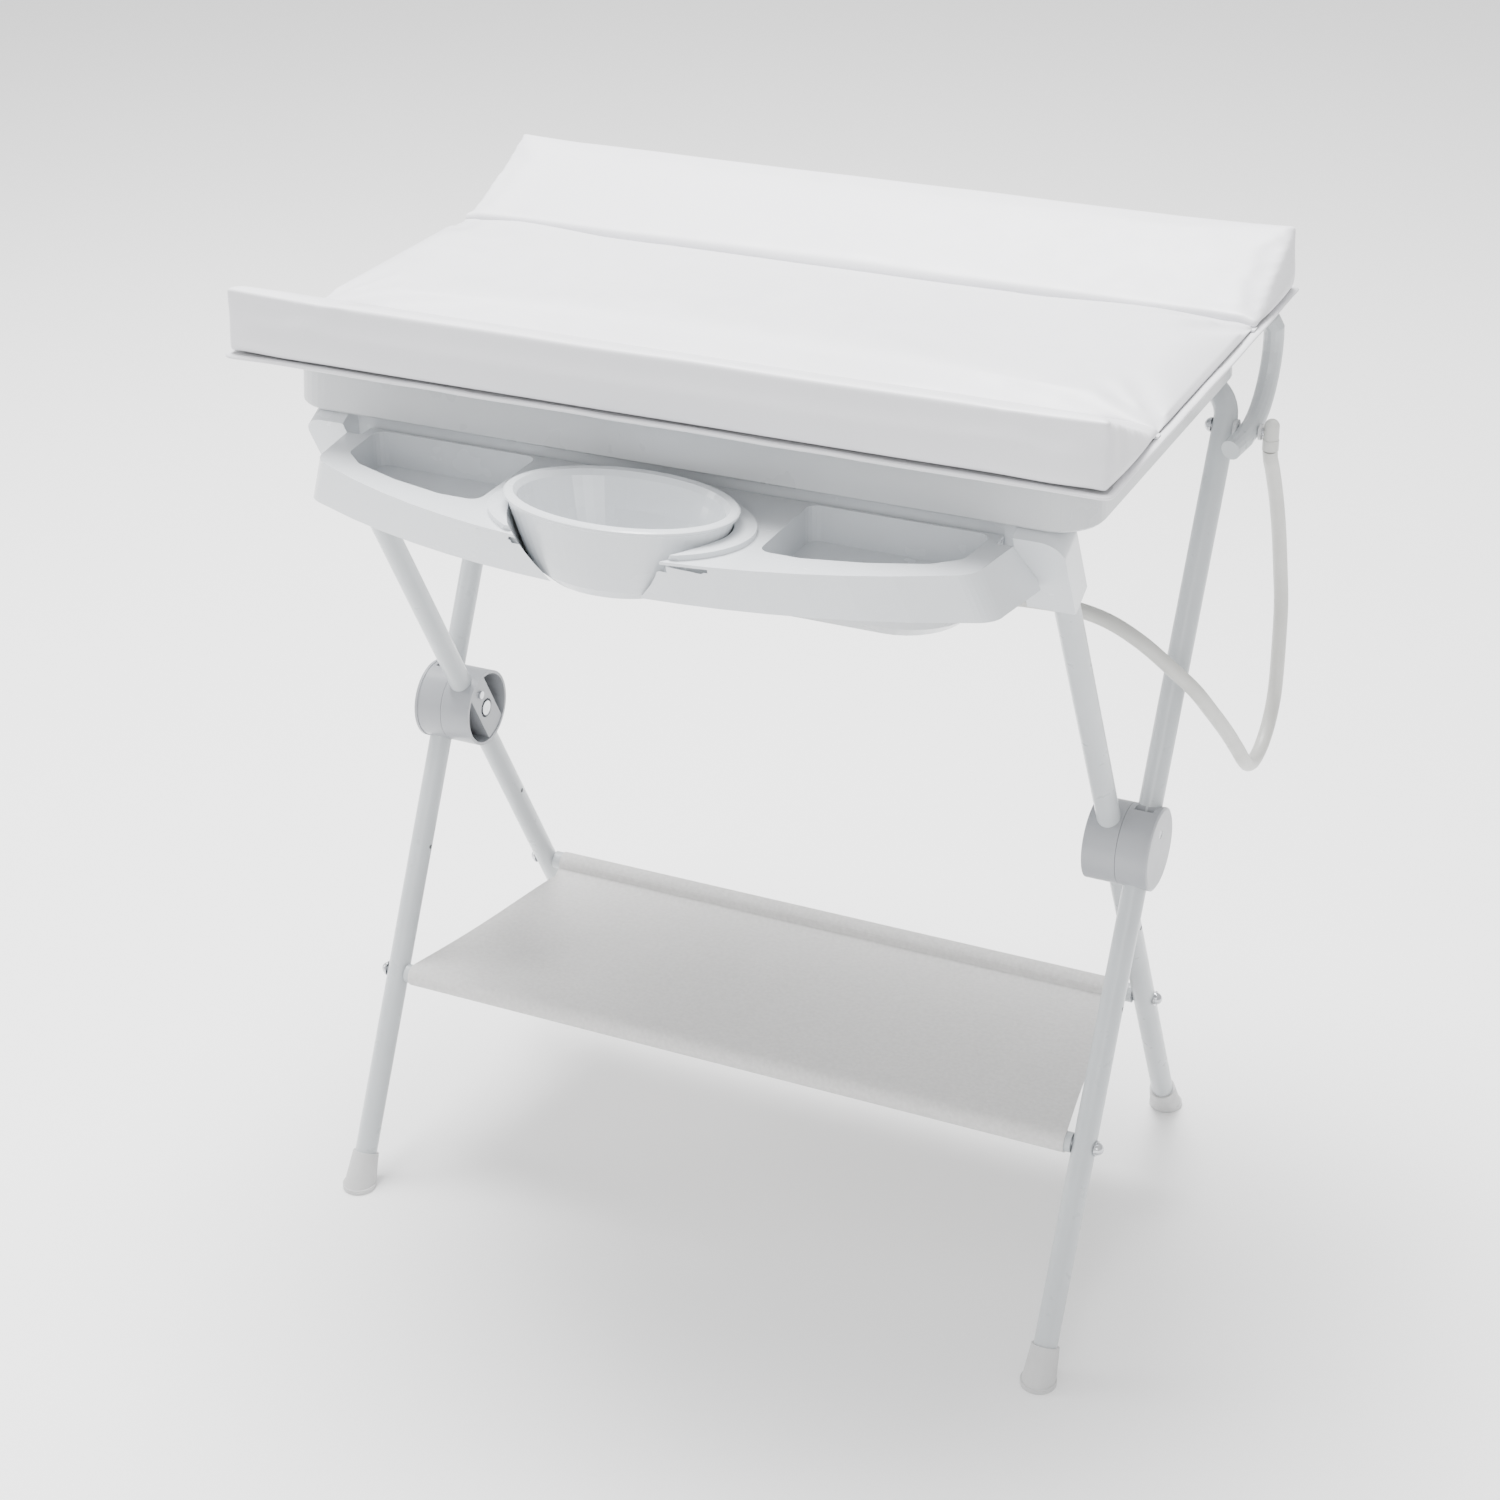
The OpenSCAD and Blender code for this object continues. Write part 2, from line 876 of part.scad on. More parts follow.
module oval(a, b, y, z, grow = 0) {
  translate([0, y, z])
    linear_extrude(0.01)
      scale([a + grow, b + grow])
        circle(r = 1, $fn = cup_steps);
}

// Share of the cup's widening that is reached at a share of its height
function bulge(t) = sqrt(t);
cup_levels = [0, 0.12, 0.3, 0.55, 0.8, 1];
cup_travel = 90;

// The space that the cup needs on its way out
module cup_way() {
  hull()
    for (t = cup_levels)
      for (up = [0, cup_travel])
        oval(cup_low_a + (cup_a - cup_low_a) * bulge(t), cup_low_b + (cup_b - cup_low_b) * bulge(t),
          cup_low_y + (cup_y - cup_low_y) * bulge(t) + cup_lift[1] * up,
          cup_low_z + (cup_z - cup_low_z) * t + cup_lift[2] * up - (t == 0 && up == 0 ? 0.5 : 0), 0.3);
}

module tray() {
  low = deck_z - tray_h;
  color(plastic)
    place()
      difference() {
        union() {
          difference() {
            tray_body(0, low, deck_z);
            tray_body(shell, low - 1, deck_z - shell);
          }
          both_sides()
            translate([0, 0, pocket_floor - shell])
              linear_extrude(deck_z - pocket_floor)
                pocket_plan(2.5);
          intersection() {
            translate([0, cup_y, low + 1])
              linear_extrude(tray_h + 4)
                scale([117, 76])
                  circle(r = 1, $fn = cup_steps);
            tray_body(1, low + 0.5, deck_z + 20);
          }
        }
        both_sides()
          translate([0, 0, pocket_floor])
            linear_extrude(100)
              pocket_plan();
        cup_way();
        both_sides()
          leaning(-inner_lean)
            translate([socket_in - 15, -16.2, socket_low - 40])
              cube([60, 80, 160]);
      }
}

// Ring of the cup wall at one height, 0 at the foot and 1 at the rim
function cup_ring(t, z, inset) = let (
    e = bulge(t),
    a = cup_low_a + (cup_a - cup_low_a) * e - inset,
    b = cup_low_b + (cup_b - cup_low_b) * e - inset,
    y = cup_low_y + (cup_y - cup_low_y) * e)
  [for (s = [0:cup_steps - 1])
    let (turn = 360 * s / cup_steps)
    [a * cos(turn), y + b * sin(turn), z]];

module soap_cup() {
  h = cup_z - cup_low_z;
  outside = [for (t = [0, 0.12, 0.3, 0.55, 0.8, 0.93])
    cup_ring(t, cup_low_z + h * t, t == 0 ? 4 : 1.5)];
  rim = [cup_ring(1, cup_z - 3, 0), cup_ring(1, cup_z - 1, 0), cup_ring(1, cup_z, 1.5),
    cup_ring(1, cup_z, 8)];
  inside = [for (t = [0.93, 0.8, 0.55, 0.3, 0.12])
    cup_ring(t, cup_low_z + h * t, 10)];
  color(plastic)
    place()
      loft(concat(outside, rim, inside, [cup_ring(0.05, cup_low_z + 4, 14)]));
}

// Rail under the tub's front, between the two leg sockets
module front_rail() {
  color(plastic)
    place()
      difference() {
        translate([-socket_in, -203, 800])
          cube([2 * socket_in, 19, rail_z - 800]);
        translate([-socket_in - 1, -200.5, 799])
          cube([2 * socket_in + 2, 14, rail_z - 799 - 2.5]);
      }
}

// Side outline of a socket, X outwards and the leg's direction upwards
socket_in = 311.5;
socket_out = 353.5;
socket_low = 362;
socket_top = 450;
socket_round = 20;

module socket_side() {
  translate([socket_in, socket_low])
    square([socket_out - socket_in, socket_top - socket_low - socket_round]);
  translate([socket_in, socket_low])
    square([socket_out - socket_in - socket_round, socket_top - socket_low]);
  translate([socket_out - socket_round, socket_top - socket_round])
    circle(r = socket_round);
}

// Socket that sits over the top of an inner leg and is open to the rear
module leg_socket(side) {
  color(plastic)
    place()
      scale([side, 1, 1])
        leaning(-inner_lean)
          difference() {
            translate([0, 14, 0])
              rotate([90, 0, 0])
                linear_extrude(30)
                  socket_side();
            translate([inner_x, 0, socket_low - 1])
              cylinder(r = leg_r + 0.4, h = inner_top_w + 5 - socket_low);
            translate([inner_x - leg_r - 0.4, 0, socket_low - 1])
              cube([leg_d + 0.8, 20, inner_top_w + 5 - socket_low]);
            translate([socket_in + 3, -13, socket_low + 8])
              cube([8, 30, 60]);
          }
}

module leg_socket_left() {
  mirror([1, 0, 0])
    leg_socket(1);
}

module leg_socket_right() {
  leg_socket(1);
}

// ---- Shelf ----

shelf_t = 3;
shelf_front_half = 345;
shelf_rear_half = 314;

module sleeve(half, y) {
  difference() {
    rod_x(-half, half, shelf_bar_r + 2, y, shelf_z);
    rod_x(-half - 1, half + 1, shelf_bar_r + fit, y, shelf_z);
  }
}

// Cloth shelf: a flat sheet with a sleeve around each bar
module shelf() {
  color(cloth)
    place() {
      sleeve(shelf_front_half, front_bar_y);
      sleeve(shelf_rear_half, rear_bar_y);
      translate([0, 0, shelf_z + shelf_bar_r + fit])
        linear_extrude(shelf_t)
          polygon([[-shelf_front_half, front_bar_y + 3], [shelf_front_half, front_bar_y + 3],
            [shelf_rear_half, rear_bar_y - 3], [-shelf_rear_half, rear_bar_y - 3]]);
    }
}

outer_leg_left();
outer_leg_right();
outer_top_bar();
front_shelf_bar();
front_feet();
front_bar_nuts();
hub_outer_left();
hub_outer_right();
hub_caps();
hub_cap_screws();
hub_bolts();
pad_pivot_bolts();
pad_pivot_washers();
tub();
tub_feet();
rim_bumpers();
drain_fitting();
drain_gasket();
drain_hose();
hose_plug();
tray();
front_rail();
leg_socket_left();
leg_socket_right();
inner_leg_left();
inner_leg_right();
inner_leg_caps();
rear_shelf_bar();
rear_feet();
rear_bar_nuts();
hub_inner_left();
hub_inner_right();
hub_web_screws();
shelf();
pad_cushion();
pad_wedge_front();
pad_wedge_rear();
pad_board();
pad_arm_left();
pad_arm_right();
pad_support_bar();
pad_clips();
soap_cup();
drain_plug();
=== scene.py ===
import json
import math

import bmesh
import bpy
import numpy as np
from mathutils import Matrix, Vector, noise


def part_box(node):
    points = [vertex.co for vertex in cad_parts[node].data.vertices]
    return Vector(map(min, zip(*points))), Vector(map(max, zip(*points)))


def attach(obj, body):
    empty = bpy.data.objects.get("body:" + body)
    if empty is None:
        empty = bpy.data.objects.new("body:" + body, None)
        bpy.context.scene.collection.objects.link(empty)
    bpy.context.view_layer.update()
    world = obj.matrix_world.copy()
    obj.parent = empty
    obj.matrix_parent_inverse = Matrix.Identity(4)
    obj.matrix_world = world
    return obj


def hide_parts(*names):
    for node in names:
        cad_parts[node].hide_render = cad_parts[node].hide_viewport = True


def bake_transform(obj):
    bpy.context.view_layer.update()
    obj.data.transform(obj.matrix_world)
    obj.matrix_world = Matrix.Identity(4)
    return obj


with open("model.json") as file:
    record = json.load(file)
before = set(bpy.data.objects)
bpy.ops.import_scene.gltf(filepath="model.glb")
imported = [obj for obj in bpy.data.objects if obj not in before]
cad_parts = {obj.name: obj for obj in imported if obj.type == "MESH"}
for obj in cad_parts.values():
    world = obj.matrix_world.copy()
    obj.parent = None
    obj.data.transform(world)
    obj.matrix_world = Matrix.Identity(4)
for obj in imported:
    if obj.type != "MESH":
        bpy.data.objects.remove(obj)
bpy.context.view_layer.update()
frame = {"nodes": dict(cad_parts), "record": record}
nodes = frame["nodes"]
MM = 0.001

# The hub axis lies this far behind the middle of the table
hub_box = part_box("hub_caps")
HUB_Y = (hub_box[0].y + hub_box[1].y) / 2


# ---------------------------------------------------------------- camera

FOCAL_MM = 67.29
SENSOR_MM = 36.0
YAW, PITCH, ROLL = (math.radians(a) for a in (25.36, 27.955, -0.722))
EYE = Vector((0.9949, -2.1598 + HUB_Y, 1.733))
VIEW_DEPTH = 50


def make_camera():
    data = bpy.data.cameras.new("view")
    data.lens = FOCAL_MM
    data.sensor_width = SENSOR_MM
    data.clip_end = VIEW_DEPTH
    camera = bpy.data.objects.new("view", data)
    bpy.context.scene.collection.objects.link(camera)
    back = Vector((math.sin(YAW) * math.cos(PITCH), -math.cos(YAW) * math.cos(PITCH),
                   math.sin(PITCH)))
    right = Vector((math.cos(YAW), math.sin(YAW), 0))
    up = back.cross(right)
    rolled_right = math.cos(ROLL) * right + math.sin(ROLL) * up
    rolled_up = math.cos(ROLL) * up - math.sin(ROLL) * right
    turn = Matrix((rolled_right, rolled_up, back)).transposed().to_4x4()
    camera.matrix_world = Matrix.Translation(EYE) @ turn
    bpy.context.scene.camera = camera


make_camera()


# ---------------------------------------------------------------- materials

class Shade:
    """A Principled material with helpers that add procedural detail."""

    def __init__(self, name, color, roughness, **sockets):
        self.material = bpy.data.materials.new(name)
        self.material.use_nodes = True
        self.tree = self.material.node_tree
        self.shader = self.tree.nodes["Principled BSDF"]
        self.color = (*color, 1)
        self.shader.inputs["Base Color"].default_value = self.color
        self.shader.inputs["Roughness"].default_value = roughness
        for key, value in sockets.items():
            self.shader.inputs[key.replace("_", " ")].default_value = value
        self.coords = self.node("ShaderNodeTexCoord").outputs["Object"]
        self.height = None

    def node(self, kind, **settings):
        made = self.tree.nodes.new(kind)
        for key, value in settings.items():
            setattr(made, key, value)
        return made

    def link(self, source, target):
        self.tree.links.new(source, target)

    def noise(self, scale, detail=3.0, rough=0.55, stretch=(1, 1, 1)):
        mapping = self.node("ShaderNodeMapping")
        mapping.inputs["Scale"].default_value = stretch
        self.link(self.coords, mapping.inputs["Vector"])
        made = self.node("ShaderNodeTexNoise")
        made.inputs["Scale"].default_value = scale
        made.inputs["Detail"].default_value = detail
        made.inputs["Roughness"].default_value = rough
        self.link(mapping.outputs["Vector"], made.inputs["Vector"])
        return made.outputs["Fac"]

    def wave(self, scale, axis, distortion=0.0):
        made = self.node("ShaderNodeTexWave", wave_type="BANDS", bands_direction=axis)
        made.inputs["Scale"].default_value = scale
        made.inputs["Distortion"].default_value = distortion
        self.link(self.coords, made.inputs["Vector"])
        return made.outputs["Fac"]

    def spread(self, fac, low, high, start=0.3, end=0.7):
        """A value turned from the range start to end into low to high."""
        made = self.node("ShaderNodeMapRange")
        for key, value in (("From Min", start), ("From Max", end), ("To Min", low), ("To Max", high)):
            made.inputs[key].default_value = value
        self.link(fac, made.inputs["Value"])
        return made.outputs["Result"]

    def tint(self, fac, dark, start=0.3, end=0.7):
        """Mixes the base colour with a darker one."""
        ramp = self.node("ShaderNodeValToRGB")
        ramp.color_ramp.elements[0].position = start
        ramp.color_ramp.elements[1].position = end
        ramp.color_ramp.elements[0].color = (*dark, 1)
        ramp.color_ramp.elements[1].color = self.color
        self.link(fac, ramp.inputs["Fac"])
        self.link(ramp.outputs["Color"], self.shader.inputs["Base Color"])
        return self

    def gloss(self, fac, low, high):
        self.link(self.spread(fac, low, high), self.shader.inputs["Roughness"])
        return self

    def bump(self, fac, depth, strength=1.0):
        made = self.node("ShaderNodeBump")
        made.inputs["Strength"].default_value = strength
        made.inputs["Distance"].default_value = depth
        self.link(fac, made.inputs["Height"])
        if self.height:
            self.link(self.height, made.inputs["Normal"])
        self.height = made.outputs["Normal"]
        self.link(self.height, self.shader.inputs["Normal"])
        return self


def powder_coat():
    s = Shade("powder_coat_grain", (0.50, 0.525, 0.54), 0.32, Coat_Weight=0.25, Coat_Roughness=0.2)
    s.bump(s.noise(900, 2), 0.00008, 0.5)
    s.bump(s.noise(140, 2), 0.00012, 0.35)
    s.gloss(s.noise(60), 0.26, 0.40)
    return s.tint(s.noise(11, 4), (0.455, 0.48, 0.495)).material


def moulded(name, color, roughness, dark, coat=0.3):
    s = Shade(name, color, roughness, Coat_Weight=coat, Coat_Roughness=0.12)
    s.shader.inputs["Subsurface Weight"].default_value = 0.06
    s.shader.inputs["Subsurface Radius"].default_value = (0.006, 0.006, 0.006)
    s.bump(s.noise(35, 2), 0.0004, 0.16)
    s.bump(s.noise(1400, 1), 0.00004, 0.3)
    s.gloss(s.noise(22), roughness - 0.05, roughness + 0.07)
    return s.tint(s.noise(6, 3), dark).material


def vinyl():
    s = Shade("vinyl_grain", (0.74, 0.74, 0.765), 0.42, Coat_Weight=0.08, Coat_Roughness=0.35)
    s.shader.inputs["Sheen Weight"].default_value = 0.08
    grain = s.node("ShaderNodeTexVoronoi", feature="SMOOTH_F1")
    grain.inputs["Scale"].default_value = 620
    s.link(s.coords, grain.inputs["Vector"])
    s.bump(grain.outputs["Distance"], 0.00012, 0.4)
    s.bump(s.noise(26, 3), 0.0012, 0.14)
    s.bump(s.noise(7, 2, stretch=(1, 3, 1)), 0.004, 0.10)
    s.gloss(s.noise(30), 0.36, 0.50)
    return s.tint(s.noise(5, 3), (0.705, 0.705, 0.73)).material


def woven():
    s = Shade("woven_cloth", (0.68, 0.67, 0.66), 0.85)
    s.shader.inputs["Sheen Weight"].default_value = 0.25
    s.shader.inputs["Sheen Roughness"].default_value = 0.5
    s.bump(s.wave(330, "X", 0.6), 0.0003, 0.5)
    s.bump(s.wave(330, "Y", 0.6), 0.0003, 0.5)
    s.bump(s.noise(20, 3, stretch=(3, 1, 1)), 0.003, 0.25)
    return s.tint(s.noise(240, 2), (0.60, 0.59, 0.58)).material


def metal():
    s = Shade("zinc_plate", (0.62, 0.63, 0.65), 0.25, Metallic=1.0)
    s.bump(s.noise(500, 2), 0.00005, 0.4)
    s.gloss(s.noise(160), 0.18, 0.36)
    return s.tint(s.noise(90), (0.48, 0.49, 0.51)).material


def soft(name, color, roughness, dark):
    s = Shade(name, color, roughness)
    s.shader.inputs["Subsurface Weight"].default_value = 0.1
    s.shader.inputs["Subsurface Radius"].default_value = (0.004, 0.004, 0.004)
    s.bump(s.noise(260, 3), 0.0002, 0.4)
    s.gloss(s.noise(40), roughness - 0.06, roughness + 0.08)
    return s.tint(s.noise(30), dark).material


LOOKS = {
    "powder_coat": powder_coat(),
    "tub_plastic": moulded("tub_moulding", (0.56, 0.575, 0.59), 0.30, (0.535, 0.55, 0.565)),
    "tray_plastic": moulded("tray_moulding", (0.65, 0.675, 0.70), 0.22, (0.625, 0.65, 0.675), 0.5),
    "hub_plastic": moulded("hub_moulding", (0.33, 0.34, 0.36), 0.36, (0.30, 0.31, 0.33), 0.1),
    "clip_plastic": moulded("clip_moulding", (0.58, 0.59, 0.60), 0.4, (0.54, 0.55, 0.56), 0.1),
    "soft_rubber": soft("soft_rubber", (0.56, 0.56, 0.56), 0.5, (0.50, 0.50, 0.50)),
    "hose_vinyl": soft("hose_vinyl", (0.56, 0.56, 0.535), 0.38, (0.51, 0.51, 0.485)),
    "pad_vinyl": vinyl(),
    "board_white": moulded("board_sheet", (0.50, 0.50, 0.51), 0.5, (0.46, 0.46, 0.47), 0.0),
    "shelf_cloth": woven(),
    "zinc": metal(),
}


# ---------------------------------------------------------------- helpers

def add(name, data):
    made = bpy.data.objects.new(name, data)
    bpy.context.scene.collection.objects.link(made)
    return made


def mesh_of(name, points, faces):
    mesh = bpy.data.meshes.new(name)
    mesh.from_pydata([tuple(p) for p in points], [], faces)
    mesh.update()
    return mesh


def smooth(obj, angle=35):
    """Smooth shading, with sharp edges where faces meet at more than the angle."""
    for polygon in obj.data.polygons:
        polygon.use_smooth = True
    edit = bmesh.new()
    edit.from_mesh(obj.data)
    for edge in edit.edges:
        edge.smooth = len(edge.link_faces) == 2 and edge.calc_face_angle(0) < math.radians(angle)
    edit.to_mesh(obj.data)
    edit.free()


def apply_modifiers(obj):
    graph = bpy.context.evaluated_depsgraph_get()
    mesh = bpy.data.meshes.new_from_object(obj.evaluated_get(graph))
    obj.modifiers.clear()
    obj.data = mesh


def finish_piece(obj, body, slot, *hidden):
    obj.data.materials.clear()
    obj.data.materials.append(LOOKS[slot])
    if hidden:
        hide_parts(*hidden)
    if body:
        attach(obj, body)


# ---------------------------------------------------------------- drain hose

HOSE_D = 14 * MM
HOSE_STEPS = 5
# The hose's route in millimetres: x from the middle, y from the hub axis and z from the floor
HOSE_ROUTE = [
    (178, 0, 672), (215, 0, 673), (252, 1, 675), (288, 1, 675), (322, 2, 668),
    (352, 8, 650), (376, 24, 622), (392, 46, 594), (402, 74, 561), (408, 108, 526),
    (411, 143, 491), (412, 171, 464), (412, 190, 451.4), (412, 212, 447), (412, 234, 451.4),
    (412, 253, 464), (412, 265.6, 483), (412, 270, 505), (412, 269, 545), (412, 264, 590),
    (411, 252, 635), (411, 235, 678), (411, 215, 718), (411, 194, 752), (411, 181, 770),
    (411, 177.2, 780)]


def through(points, steps):
    """A smooth line through points, with so many steps between each two."""
    line = []
    for i in range(len(points) - 1):
        a, b = points[max(i - 1, 0)], points[i]
        c, d = points[i + 1], points[min(i + 2, len(points) - 1)]
        for k in range(steps):
            t = k / steps
            line.append(0.5 * (2 * b + (c - a) * t + (2 * a - 5 * b + 4 * c - d) * t * t
                               + (3 * b - a - 3 * c + d) * t ** 3))
    return line + [points[-1]]


def make_hose():
    points = [Vector((x * MM, y * MM + HUB_Y, z * MM)) for x, y, z in HOSE_ROUTE]
    line = through(points, HOSE_STEPS)
    curve = bpy.data.curves.new("hose", "CURVE")
    curve.dimensions = "3D"
    curve.bevel_depth = HOSE_D / 2
    curve.bevel_resolution = 5
    curve.use_fill_caps = True
    spline = curve.splines.new("POLY")
    spline.points.add(len(line) - 1)
    for point, place in zip(spline.points, line):
        point.co = (*place, 1)
    spline.use_smooth = True
    hose = add("drain_hose_tube", curve)
    finish_piece(hose, "stand", "hose_vinyl", "drain_hose")


make_hose()


# ---------------------------------------------------------------- changing pad

SIM_FRAMES = 20
PAD_VOXEL = 6 * MM
COVER_ANGLE = 80


def prism(name, half, outline):
    """A closed prism along X from an outline in Y and Z."""
    n = len(outline)
    points = [(x, y, z) for x in (-half, half) for y, z in outline]
    faces = [list(range(n))[::-1], [n + i for i in range(n)]]
    faces += [[i, (i + 1) % n, n + (i + 1) % n, n + i] for i in range(n)]
    made = add(name, mesh_of(name, points, faces))
    edit = bmesh.new()
    edit.from_mesh(made.data)
    bmesh.ops.recalc_face_normals(edit, faces=edit.faces)
    edit.to_mesh(made.data)
    edit.free()
    return made


def remesh(obj, voxel):
    modifier = obj.modifiers.new("remesh", "REMESH")
    modifier.mode = "VOXEL"
    modifier.voxel_size = voxel
    apply_modifiers(obj)


def inflate(obj, cap, pressure, hold_below):
    """Swells a closed mesh as a stuffed cover swells, moving no point further than cap.

    Points lower than hold_below keep their place.
    """
    rest = np.empty(len(obj.data.vertices) * 3)
    obj.data.vertices.foreach_get("co", rest)
    rest = rest.reshape(-1, 3)
    group = obj.vertex_groups.new(name="held")
    group.add([int(i) for i in np.nonzero(rest[:, 2] < hold_below)[0]], 1.0, "REPLACE")
    cloth = obj.modifiers.new("cloth", "CLOTH")
    settings = cloth.settings
    settings.quality = 5
    settings.mass = 0.3
    settings.tension_stiffness = 15
    settings.compression_stiffness = 15
    settings.shear_stiffness = 5
    settings.bending_stiffness = 0.5
    settings.use_pressure = True
    settings.uniform_pressure_force = pressure
    settings.effector_weights.gravity = 0
    settings.vertex_group_mass = "held"
    cloth.point_cache.frame_start = 1
    cloth.point_cache.frame_end = SIM_FRAMES
    for step in range(1, SIM_FRAMES + 1):
        bpy.context.scene.frame_set(step)
    apply_modifiers(obj)
    bpy.context.scene.frame_set(1)
    now = np.empty(len(obj.data.vertices) * 3)
    obj.data.vertices.foreach_get("co", now)
    move = now.reshape(-1, 3) - rest
    size = np.linalg.norm(move, axis=1, keepdims=True)
    move *= np.minimum(1, cap / np.maximum(size, 1e-9))
    obj.data.vertices.foreach_set("co", (rest + move).ravel())
    obj.data.update()


def relax(obj, rounds):
    """Evens out the voxel steps of a remeshed surface."""
    modifier = obj.modifiers.new("relax", "LAPLACIANSMOOTH")
    modifier.iterations = rounds
    modifier.lambda_factor = 0.6
    modifier.lambda_border = 0.0
    apply_modifiers(obj)


def shape(obj, move):
    """Moves each vertex by a function of its place."""
    for vertex in obj.data.vertices:
        vertex.co = move(vertex.co.copy())
    obj.data.update()


front_lo, front_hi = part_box("pad_wedge_front")
rear_lo, rear_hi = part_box("pad_wedge_rear")
mid_lo, mid_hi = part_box("pad_cushion")
PAD_X = front_hi.x
FOLD_FRONT = mid_lo.y
FOLD_REAR = mid_hi.y
FOAM_Z = mid_lo.z
EDGE_Z = front_hi.z
CUSHION_Z = mid_hi.z
# The covers stand this far above the foam's underside, and lap this far past each fold
COVER_LOW = FOAM_Z + 1 * MM
FOLD_LAP = 1 * MM
HELD_Z = FOAM_Z + 3 * MM


def wrinkles(p, turn):
    """A faint ripple, and on a wedge small pulls by its lower corners. turn is 0 on the cushion."""
    side = math.exp(-((PAD_X - abs(p.x)) / 0.09) ** 2)
    low = math.exp(-((p.z - FOAM_Z) / 0.03) ** 2)
    fold = noise.noise(Vector((p.x * 16, p.z * 60, 4.0 if p.x > 0 else 9.0)))
    p.y += turn * 0.0035 * side * low * fold
    ripple = noise.noise(Vector((p.x * 9, p.y * 9, 2.0)))
    p.z += 0.0011 * ripple * min(1, max(0, (p.z - FOAM_Z) / 0.02))
    return p


def finish_cover(cover, node, cap, pressure, rounds, turn):
    inflate(cover, cap, pressure, HELD_Z)
    relax(cover, rounds)
    shape(cover, lambda p: wrinkles(p, turn))
    cover.modifiers.new("smooth", "SUBSURF").levels = 1
    apply_modifiers(cover)
    smooth(cover, COVER_ANGLE)
    finish_piece(cover, "pad_unit", "pad_vinyl", node)


def make_wedge(name, node, outer, fold, turn):
    """A raised edge of the pad: an upright face outside, a slope down to the fold inside."""
    inset = 0.5 * MM
    low = COVER_LOW
    outline = [(outer + turn * inset, low), (outer + turn * inset, EDGE_Z + 0.5 * MM),
               (outer + turn * 6 * MM, EDGE_Z + 1.5 * MM), (fold - turn * 10 * MM, low + 10 * MM),
               (fold + turn * FOLD_LAP, low + 8 * MM), (fold + turn * FOLD_LAP, low)]
    wedge = prism(name, PAD_X - inset, outline)
    remesh(wedge, PAD_VOXEL)
    finish_cover(wedge, node, cap=3 * MM, pressure=2.5, rounds=2, turn=turn)


def make_cushion():
    """The flat middle of the pad, crowned, and rounded down at the folds and the ends."""
    low = COVER_LOW
    side = low + 9 * MM
    top = CUSHION_Z - 4 * MM
    end_gap = 4 * MM
    end_run = 38 * MM
    end_drop = 0.42
    slope = 5.5
    count = 12
    outline = [(FOLD_FRONT - FOLD_LAP, low)]
    for i in range(count + 1):
        t = i / count
        y = FOLD_FRONT - FOLD_LAP + t * (FOLD_REAR - FOLD_FRONT + 2 * FOLD_LAP)
        rise = min(1.0, slope * t, slope * (1 - t))
        outline.append((y, side + (top - side) * math.sin(rise * math.pi / 2)))
    outline.append((FOLD_REAR + FOLD_LAP, low))
    cushion = prism("pad_centre_cover", PAD_X - end_gap, outline)
    remesh(cushion, PAD_VOXEL)

    def end_round(p):
        t = max(0.0, (abs(p.x) - (PAD_X - end_gap - end_run)) / end_run)
        p.z = low + (p.z - low) * (1 - end_drop * min(t, 1.0) ** 2.2)
        return p

    shape(cushion, end_round)
    finish_cover(cushion, "pad_cushion", cap=5 * MM, pressure=3.0, rounds=3, turn=0)


def rounded_outline(half_x, front, rear, corner, turns=6):
    """The points of a rectangle with arcs at its corners."""
    centres = [(half_x - corner, rear - corner), (-half_x + corner, rear - corner),
               (-half_x + corner, front + corner), (half_x - corner, front + corner)]
    outline = []
    for i, (x, y) in enumerate(centres):
        for k in range(turns + 1):
            a = math.radians(90 * i + 90 * k / turns)
            outline.append((x + corner * math.cos(a), y + corner * math.sin(a)))
    return outline


def divided(outline, longest):
    """The same closed outline with its long sides cut into steps."""
    line = []
    for i, a in enumerate(outline):
        b = outline[(i + 1) % len(outline)]
        steps = max(1, round(math.dist(a, b) / longest))
        line += [(a[0] + (b[0] - a[0]) * k / steps, a[1] + (b[1] - a[1]) * k / steps)
                 for k in range(steps)]
    return line


